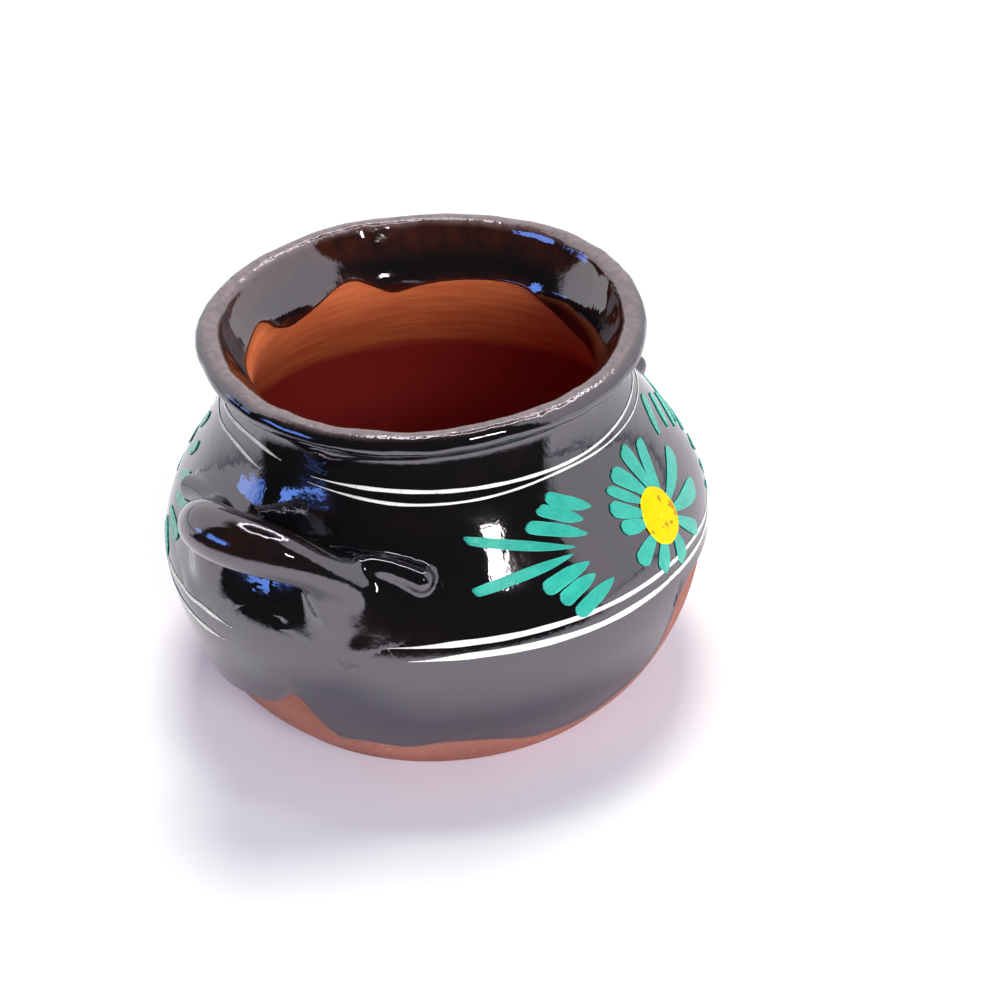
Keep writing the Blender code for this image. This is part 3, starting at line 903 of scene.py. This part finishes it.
# %% [markdown]
# ## Brush strokes
# Lines and flower were painted on the finished wall with a loaded brush, and dried a little proud of
# it. Each stroke is drawn flat first, as a strip whose width follows a brush: a fine start, a full
# belly and a blunt, ragged end. A tree then sends a ray from outside at each point of the strip and
# lays it where the ray meets the glaze, so that the paint follows every unevenness of the wall. The
# rays for the neck start close by, under the lip. The flowers are thicker than the lines they cross.

# %% The tree that lays paint on the wall
RAY_LENGTH = 0.3


def paint_tree():
    start = new_tree("laid on the wall", Wall="Object", From="Float", Lift="Float", Finish="Material")
    flat = start.node("GeometryNodeInputPosition")
    angle, height, layer = flat.parts()
    east = start.sum("SINE", angle, 0)
    north = start.sum("COSINE", angle, 0) * -1
    outwards = start.node("ShaderNodeCombineXYZ", None, {"X": east, "Y": north})
    level = start.node("ShaderNodeCombineXYZ", None, {"Z": height})
    target = start.node("GeometryNodeObjectInfo", None, {"Object": start.other("Wall")}, "Geometry")
    ray = {"Target Geometry": target, "Source Position": outwards * start.other("From") + level}
    ray |= {"Ray Direction": outwards * -1, "Ray Length": RAY_LENGTH}
    hit = start.node("GeometryNodeRaycast", None, ray, "Hit Position")
    place = hit + hit.other("Hit Normal") * (layer + start.other("Lift"))
    shape = start.node("GeometryNodeSetPosition", None, {"Geometry": start, "Position": place})
    return end_tree(start, shape)


def whole_wall(pieces):
    """Glaze and handles as one surface to paint on, used for the rays only."""
    shape = bmesh.new()
    for piece in pieces:
        shape.from_mesh(piece.data)
    surface = new_piece("whole_wall", [])
    shape.to_mesh(surface.data)
    shape.free()
    return surface


painted_wall = whole_wall([glaze, *handles])
PAINT = paint_tree()
PAINT_LIFT = 0.00004
FLOWER_DEPTH, LINE_DEPTH = 0.00020, 0.00010
NECK_REACH, FULL_REACH = 0.046, 0.2


def lay_paint(name, strips, finish, slot, *nodes):
    """Strips are grids of flat places (angle, height, layer), joined in one painted piece."""
    reach = NECK_REACH if name.startswith("neck") else FULL_REACH
    depth = LINE_DEPTH if "line" in name else FLOWER_DEPTH
    points, faces, marks = [], [], []
    for strip in strips:
        rows, columns = strip.shape[:2]
        first = len(points)
        points += [tuple(p) for p in strip.reshape(-1, 3)]
        marks += [(r / (rows - 1) + first, c / (columns - 1)) for r in range(rows) for c in range(columns)]
        for r in range(rows - 1):
            for c in range(columns - 1):
                corner = first + r * columns + c
                faces.append((corner, corner + columns, corner + columns + 1, corner + 1))
    piece = new_piece(name, points, faces=faces)
    shape = bmesh.new()
    shape.from_mesh(piece.data)
    layer = shape.loops.layers.uv.new("stroke")
    shape.verts.ensure_lookup_table()
    for face in shape.faces:
        for loop in face.loops:
            loop[layer].uv = marks[loop.vert.index]
    bmesh.ops.recalc_face_normals(shape, faces=shape.faces)
    for face in shape.faces:
        if face.normal.z < 0:
            face.normal_flip()
    shape.to_mesh(piece.data)
    shape.free()
    run_tree(piece, PAINT, Wall=painted_wall, From=reach, Lift=PAINT_LIFT, Finish=finish)
    body = piece.modifiers.new("thickness of the paint", "SOLIDIFY")
    body.thickness = depth
    body.offset = 1.0
    make_plain(piece)
    finish_piece(piece, slot, *nodes)


print("the wall to paint on has", len(painted_wall.data.polygons), "faces")

# %% Places beside the flower
WALL_SHARE, WALL_LENGTH = share_along(glazed_wall)
HAIR_SPLIT = 0.07
STROKE_BOW = 0.035


def beside_flower(middle, across, up, layer):
    """Flat places from distances across and up the wall, measured from the flower's middle."""
    facing, level = middle
    climb = np.interp(level, glazed_wall[:, 1], WALL_SHARE * WALL_LENGTH) + up
    height = np.interp(climb, WALL_SHARE * WALL_LENGTH, glazed_wall[:, 1])
    return np.stack([facing + across / wall_radius(height), height, np.broadcast_to(layer, height.shape)], -1)


def stroke(middle, start, end, width, layer, rng, fine=0.12, full_at=0.5, rows=24, columns=11):
    """A strip from start to end, given as (across, up), with split hairs first and a blunt end."""
    start, end = np.array(start), np.array(end)
    length = np.linalg.norm(end - start)
    along = (end - start) / length
    sideways = np.array([-along[1], along[0]])
    t = np.linspace(-1, 1, columns)
    first = HAIR_SPLIT * rng.uniform(0, 1, columns) * (np.arange(columns) % 3 == 0)
    slant, notch = rng.uniform(-0.4, 0.4), rng.uniform(0, 0.5)
    dent = 0.25 * notch * np.exp(-(((t - slant) / 0.3) ** 2))
    blunt = width / length * (0.30 * np.abs(t) ** 3 + 0.3 * slant * t + dent)
    s = first + (1 - blunt - first) * np.linspace(0, 1, rows)[:, None]
    full = fine + (1 - fine) * np.sin(pi / 2 * np.clip(s / full_at, 0, 1)) ** 0.9
    swell = 1 + 0.05 * np.sin(s * rng.uniform(4, 7) + rng.uniform(0, 6)) - 0.18 * ease((s - 0.8) / 0.2)
    bow = length * rng.uniform(-STROKE_BOW, STROKE_BOW) * np.sin(pi * s)
    aside = width / 2 * full * swell * t + bow
    spot = start + along * (s * length)[..., None] + sideways * aside[..., None]
    return beside_flower(middle, spot[..., 0], spot[..., 1], layer)


print("the wall is", round(1000 * WALL_LENGTH, 1), "mm long from foot to lip")

# %% [markdown]
# ## The daisy and its sprays
# Twelve teal petals stand round a yellow middle, longer towards the neck. On each side a spray of
# strokes opens towards the handle, the middle ones longest. A petal is given by the directions of its
# start and end, its length and its width, a spray's stroke by the direction and distance of its start
# and of its end, all from the flower's middle, in degrees and millimetres. The other face of the pot
# carries the same flower, with other small slips of the hand.

# %% Paint the flowers
FACES = {"front": (radians(57.5 + VIEW_SIDE), 0.0459), "back": (radians(181), 0.0425)}
PETALS = [
    (38, 64, 15.4, 3.4), (60, 89, 15.6, 3.4), (10, 18, 17.5, 3.7), (-17, -12, 18.5, 3.7),
    (-38, -42, 14.2, 3.0), (-70, -84, 11.2, 3.4), (-120, -123, 11.2, 3.6), (-155, -156, 12.0, 3.5),
    (168, 164, 11.2, 3.2), (145, 144, 13.0, 3.3), (114, 128, 14.0, 2.3), (86, 113, 14.4, 3.5),
]
PETAL_START = 4.2
SPRAYS = {
    "left": [
        (145, 17.1, 145, 26.3), (154, 18.9, 151, 27.8), (163, 18.8, 159, 30.2), (169, 21.9, 165, 41.6),
        (172, 23.1, 179, 44.6), (178, 21.0, 183, 32.2), (185, 21.3, 189, 30.5), (193, 18.5, 196, 29.4),
    ],
    "right": [
        (30, 18.1, 40, 25.3), (16, 23.6, 25, 29.0), (7, 28.0, 13, 35.0), (3, 32.5, 8, 44.0),
        (-2, 34.0, -2, 46.0), (-8, 33.5, -11, 43.0), (-14, 32.0, -18, 40.0), (-20, 30.0, -25, 37.0),
    ],
}
SPRAY_WIDTH = 0.0028
LONG_STROKE = 10
PAINT_LAYER = 0.00001
CENTRE_RADII = 0.0053, 0.0058


def polar(degrees, distance):
    return distance / 1000 * cos(radians(degrees)), distance / 1000 * sin(radians(degrees))


def petal_strips(middle, rng):
    for number, (turn, degrees, length, width) in enumerate(PETALS):
        layer = PAINT_LAYER * (number % 5)
        start, end = polar(turn, PETAL_START), polar(degrees, length)
        yield stroke(middle, start, end, width / 1000, layer, rng, fine=0.25, full_at=0.75)


def spray_strips(middle, strokes, rng):
    for number, (turn, first, degrees, last) in enumerate(strokes):
        layer = PAINT_LAYER * (number % 3)
        width = SPRAY_WIDTH * (1.05 - 0.30 * ease((last - first - LONG_STROKE) / LONG_STROKE))
        yield stroke(middle, polar(turn, first), polar(degrees, last), width, layer, rng)


def centre_strip(middle, rng):
    turn = np.linspace(0, 2 * pi, 49)[:, None]
    uneven = 1 + 0.025 * np.sin(3 * turn + rng.uniform(0, 6)) + 0.010 * np.sin(8 * turn)
    reach = uneven * np.linspace(0.02, 1, 10)
    across, up = CENTRE_RADII
    layer = 8 * PAINT_LAYER
    return beside_flower(middle, -across * reach * np.cos(turn), up * reach * np.sin(turn), layer)


for face, middle in FACES.items():
    rng = np.random.default_rng(11 if face == "front" else 12)
    petals = list(petal_strips(middle, rng))
    lay_paint(f"petals_{face}_paint", petals, teal_finish, "teal_slip", f"petals_{face}")
    for side, strokes in SPRAYS.items():
        nodes = [f"fan_{face}_{side}_{number + 1}" for number in range(len(strokes))]
        strips = list(spray_strips(middle, strokes, rng))
        lay_paint(f"spray_{face}_{side}_paint", strips, teal_finish, "teal_slip", *nodes)
    centre = [centre_strip(middle, rng)]
    lay_paint(f"centre_{face}_paint", centre, yellow_finish, "yellow_slip", f"flower_centre_{face}")

# %% [markdown]
# ## White lines
# A pair of white lines runs round the neck and another round the belly, drawn with a fine brush while
# the pot turned, in two strokes that start and stop at the handles. Their heights drift by a
# millimetre or so, and the brush runs thin at the ends. Each line has its width at the start and at
# the end, in millimetres, and a few places, as degrees from the front and heights in millimetres.

# %% Paint the lines
LINES = {
    "neck_line_front_upper": (
        0.60, 0.34, [(-91, 64.3), (-67, 63.9), (-44, 63.1), (-20, 62.5), (-3, 62.6), (16, 63.1), (84, 63.3)],
    ),
    "neck_line_front_lower": (
        0.42, 0.28, [(-92, 63.2), (-67, 61.5), (-45, 61.1), (-20, 61.8), (-4, 61.4), (20, 61.1), (84, 60.9)],
    ),
    "neck_line_back_upper": (
        0.60, 0.75, [(96, 63.5), (150, 63.1), (200, 63.7), (227, 64.9), (245, 65.8), (258, 64.9)],
    ),
    "neck_line_back_lower": (
        0.50, 0.65, [(98, 61.3), (150, 60.9), (200, 60.9), (216, 61.4), (237, 62.4), (251, 61.4)],
    ),
    "belly_line_front_upper": (
        0.90, 0.50, [(-68, 38.0), (-54, 38.5), (-25, 38.1), (0, 37.6), (11, 36.8), (23, 35.0), (74, 36.4)],
    ),
    "belly_line_front_lower": (
        1.15, 0.60, [(-64, 35.4), (-52, 36.0), (-24, 35.0), (2, 35.0), (21, 33.6), (72, 34.0)],
    ),
    "belly_line_back_upper": (
        0.80, 1.00, [(104, 37.0), (150, 36.0), (200, 34.6), (227, 33.8), (242, 34.5), (256, 34.0)],
    ),
    "belly_line_back_lower": (
        0.80, 1.00, [(108, 34.4), (150, 33.0), (200, 31.2), (226, 30.2), (247, 29.3), (253, 30.0)],
    ),
}
SOFT_ROWS = 41
FINE_END = 0.12
HARD_PRESS = 0.25


def line_strip(first, last, places, rng, rows=300):
    """A line of a brush that wavers, presses a little harder soon after its start, and runs out thin."""
    degrees, heights = np.array(places, float).T
    s = np.linspace(0, 1, rows)
    spots = np.linspace(degrees[0], degrees[-1], rows)
    level = np.interp(spots, degrees, heights) / 1000
    soft = np.hanning(SOFT_ROWS) / np.hanning(SOFT_ROWS).sum()
    level = np.convolve(np.pad(level, SOFT_ROWS // 2, mode="edge"), soft, "valid")
    ends = ease(np.minimum(s / 0.10, (1 - s) / 0.05))
    waver = sum(rng.uniform(0.03, 0.09) * np.sin(s * k + rng.uniform(0, 6)) for k in (17, 41, 97))
    width = first + (last - first) * ease((s - 0.3) / 0.5)
    pressed = 1 + waver + HARD_PRESS * np.exp(-(((s - 0.14) / 0.08) ** 2))
    half = width / 2000 * (FINE_END + (1 - FINE_END) * ends) * pressed
    height = level[:, None] + half[:, None] * np.linspace(-1, 1, 5)
    angle = np.broadcast_to(np.radians(spots)[:, None], height.shape)
    return np.stack([angle, height, np.zeros_like(height)], -1)


for number, (name, line) in enumerate(LINES.items()):
    strip = line_strip(*line, np.random.default_rng(30 + number))
    lay_paint(f"{name}_paint", [strip], white_finish, "white_slip", name)
bpy.data.objects.remove(painted_wall)

# %% [markdown]
# ## Floor, light and camera
# The pot stands on a plain white sheet. Black gloss shows little of its own: its shape is read from
# what it mirrors, so the room round it matters. White walls stand behind and beside it. On the side of
# the camera the room is dim, and there the sheet ends in the dark, but only for what the glaze mirrors.
# A ring of light hangs overhead, and two blue windows and a small lamp show as sharp lights on neck,
# shoulder and handle. These serve as reflections only. A soft fill from the camera's side lights the
# painted face, and a lamp high behind the pot throws a soft shadow forward. The sheet glows a little by
# itself, so that it shows white and still keeps that shadow.

# %% The dark side
ROOM_FROM, ROOM_TO = radians(-100), radians(58)
ROOM_EDGE = 0.05


def view_direction(degrees, rise=0.0):
    """A direction given from the view's side, in degrees to the right of it and up."""
    turn = radians(degrees + VIEW_SIDE)
    return Vector((sin(turn) * cos(radians(rise)), -cos(turn) * cos(radians(rise)), sin(radians(rise))))


def dark_side(direction):
    """1 where a direction points to the dim room, 0 where it points to the white walls."""
    towards, right = [
        direction.node("ShaderNodeVectorMath", {"operation": "DOT_PRODUCT"}, {0: direction, 1: side}, "Value")
        for side in (view_direction(0), view_direction(90))
    ]
    turn = direction.sum("ARCTAN2", right, towards)
    past_start = turn.step(ROOM_FROM - ROOM_EDGE, ROOM_FROM + ROOM_EDGE)
    past_end = turn.step(ROOM_TO - ROOM_EDGE, ROOM_TO + ROOM_EDGE)
    return past_start * (1 - past_end)


print("the dim room spans", round(np.degrees(ROOM_TO - ROOM_FROM)), "degrees")

# %% Floor
SHEET_SIZE = 4.0
SHEET_DROP = 0.0001
SHEET_COLOUR = 0.86, 0.86, 0.83, 1.0
SHEET_GLOW = 0.50, 0.50, 1.0, 1.0
DARK_FROM = 0.17, 0.27
WHITE_FROM = 0.4, 1.2


def white_sheet():
    """White and softly glowing, dark far off on the dim side for mirrors, and plain white in the distance."""
    material = bpy.data.materials.new("white_sheet")
    material.use_nodes = True
    tree = material.node_tree
    shader = tree.nodes["Principled BSDF"]
    shader.inputs["Base Color"].default_value = SHEET_COLOUR
    shader.inputs["Roughness"].default_value = 0.9
    shader.inputs["Specular IOR Level"].default_value = 0.0
    path = Wire(tree).node("ShaderNodeLightPath", out="Is Camera Ray")
    seen = path.sum("MAXIMUM", path, path.other("Is Glossy Ray"))
    seen = path.sum("MAXIMUM", seen, path.other("Is Transmission Ray"))
    glow = {"Color": SHEET_GLOW, "Strength": 0.04 + 0.16 * seen}
    white = path.node("ShaderNodeEmission", None, glow)
    both = path.node("ShaderNodeAddShader", None, {0: Wire(tree, shader.outputs[0]), 1: white})
    place = path.node("ShaderNodeTexCoord", out="Object")
    reach = place.node("ShaderNodeVectorMath", {"operation": "LENGTH"}, {0: place}, "Value")
    far = path.other("Is Glossy Ray") * dark_side(place) * reach.step(*DARK_FROM)
    dim = path.node("ShaderNodeEmission", None, {"Strength": 0.02})
    sheet_end = path.node("ShaderNodeMixShader", None, {0: far, 1: both, 2: dim})
    backdrop = path.node("ShaderNodeEmission", None, {"Strength": 1.0})
    beyond = path * reach.step(*WHITE_FROM)
    whole = path.node("ShaderNodeMixShader", None, {0: beyond, 1: sheet_end, 2: backdrop})
    tree.links.new(whole.socket, tree.nodes["Material Output"].inputs["Surface"])
    return material


def make_floor():
    around = [(-1, -1), (1, -1), (1, 1), (-1, 1)]
    corners = [(SHEET_SIZE * x, SHEET_SIZE * y, -SHEET_DROP) for x, y in around]
    sheet = new_piece("floor", corners, faces=[(0, 1, 2, 3)])
    sheet.data.materials.append(white_sheet())


make_floor()
print("floor laid")

# %% The room
CEILING_FROM = 0.78, 0.92
ROOM_LOWEST = -0.08, -0.03
RING_AT = 140, 70
RING_RADIUS = radians(20)
RING_EDGE = 0.02, 0.05
RING_LIGHT = 8.0


def make_world():
    """White walls all round but for a dim room, and a dark ceiling with a ring of light."""
    world = bpy.data.worlds.new("white walls")
    bpy.context.scene.world = world
    world.use_nodes = True
    tree = world.node_tree
    direction = Wire(tree).node("ShaderNodeTexCoord", out="Generated")
    up = direction.parts()[2]
    room = dark_side(direction) * up.step(*ROOM_LOWEST)
    ceiling = up.step(*CEILING_FROM)
    dark = direction.sum("MAXIMUM", room, ceiling)
    path = direction.node("ShaderNodeLightPath", out="Is Camera Ray")
    diffuse = path.other("Is Diffuse Ray")
    level = (1 - dark) * (1.0 - 0.45 * diffuse) + dark * (0.015 + 0.11 * diffuse)
    towards_ring = {0: direction, 1: view_direction(*RING_AT)}
    near = direction.node("ShaderNodeVectorMath", {"operation": "DOT_PRODUCT"}, towards_ring, "Value")
    off_ring = direction.sum("ABSOLUTE", direction.sum("ARCCOSINE", near, 0) - RING_RADIUS, 0)
    level = level + RING_LIGHT * path.other("Is Glossy Ray") * (1 - off_ring.step(*RING_EDGE))
    level = path.sum("MAXIMUM", level, path)
    tree.nodes["Background"].inputs["Color"].default_value = (1.0, 1.0, 1.0, 1.0)
    tree.links.new(level.socket, tree.nodes["Background"].inputs["Strength"])


make_world()
print("the room is white, but for its dim side")

# %% Light
LAMPS_AIM = Vector((0, 0, 0.05))
WINDOW_BLUE = 0.16, 0.36, 1.0


def add_lamp(name, degrees, rise, distance, size, energy, colour):
    """A lamp in a direction given from the view's side, that faces the pot."""
    lamp = bpy.data.lights.new(name, "AREA")
    lamp.shape = "RECTANGLE"
    lamp.size, lamp.size_y = size
    lamp.energy = energy
    lamp.color = colour
    away = view_direction(degrees, rise)
    holder = bpy.data.objects.new(name, lamp)
    holder.location = LAMPS_AIM + distance * away
    holder.rotation_euler = away.to_track_quat("Z", "Y").to_euler()
    bpy.context.scene.collection.objects.link(holder)
    return holder


window = add_lamp("window", -70, 14.5, 1.2, (0.58, 0.26), 2.2, WINDOW_BLUE)
small_window = add_lamp("small_window", -101, 8, 1.2, (0.26, 0.16), 0.4, WINDOW_BLUE)
lamp = add_lamp("lamp", 26, 29.5, 1.0, (0.09, 0.13), 0.7, (1.0, 0.97, 0.93))
fill = add_lamp("fill", 20, 20, 1.4, (0.7, 0.7), 18.0, (1.0, 0.98, 0.97))
back = add_lamp("back", 168, 72, 1.2, (0.5, 0.5), 12.5, (1.0, 0.97, 0.94))
for holder in (window, small_window, lamp):
    holder.visible_diffuse = False
for holder in (fill, back):
    holder.visible_glossy = False
print("lamps:", *[holder.name for holder in (window, small_window, lamp, fill, back)])

# %% Camera
CAMERA_DISTANCE = 0.4748
CAMERA_HEIGHT = 0.3435
PITCH, YAW, ROLL = 0.5769, 0.0274, -0.0598
FOCAL_PIXELS = 2800
IMAGE_WIDTH = 1000
SENSOR_WIDTH = 36.0


def make_camera():
    forward = Vector((sin(YAW) * cos(PITCH), cos(YAW) * cos(PITCH), -sin(PITCH)))
    level = Vector((cos(YAW), -sin(YAW), 0.0))
    upright = level.cross(forward)
    right = level * cos(ROLL) + upright * sin(ROLL)
    up = upright * cos(ROLL) - level * sin(ROLL)
    axes = Matrix((right, up, -forward)).transposed().to_4x4()
    stand = Matrix.Translation((0.0, -CAMERA_DISTANCE, CAMERA_HEIGHT))
    data = bpy.data.cameras.new("camera")
    data.sensor_width = SENSOR_WIDTH
    data.lens = SENSOR_WIDTH * FOCAL_PIXELS / IMAGE_WIDTH
    data.clip_start = 0.01
    print("lens", round(data.lens, 1), "mm")
    camera = bpy.data.objects.new("camera", data)
    camera.matrix_world = Matrix.Rotation(radians(VIEW_SIDE), 4, "Z") @ stand @ axes
    bpy.context.scene.collection.objects.link(camera)
    bpy.context.scene.camera = camera


make_camera()
bpy.context.scene.view_settings.view_transform = "Standard"
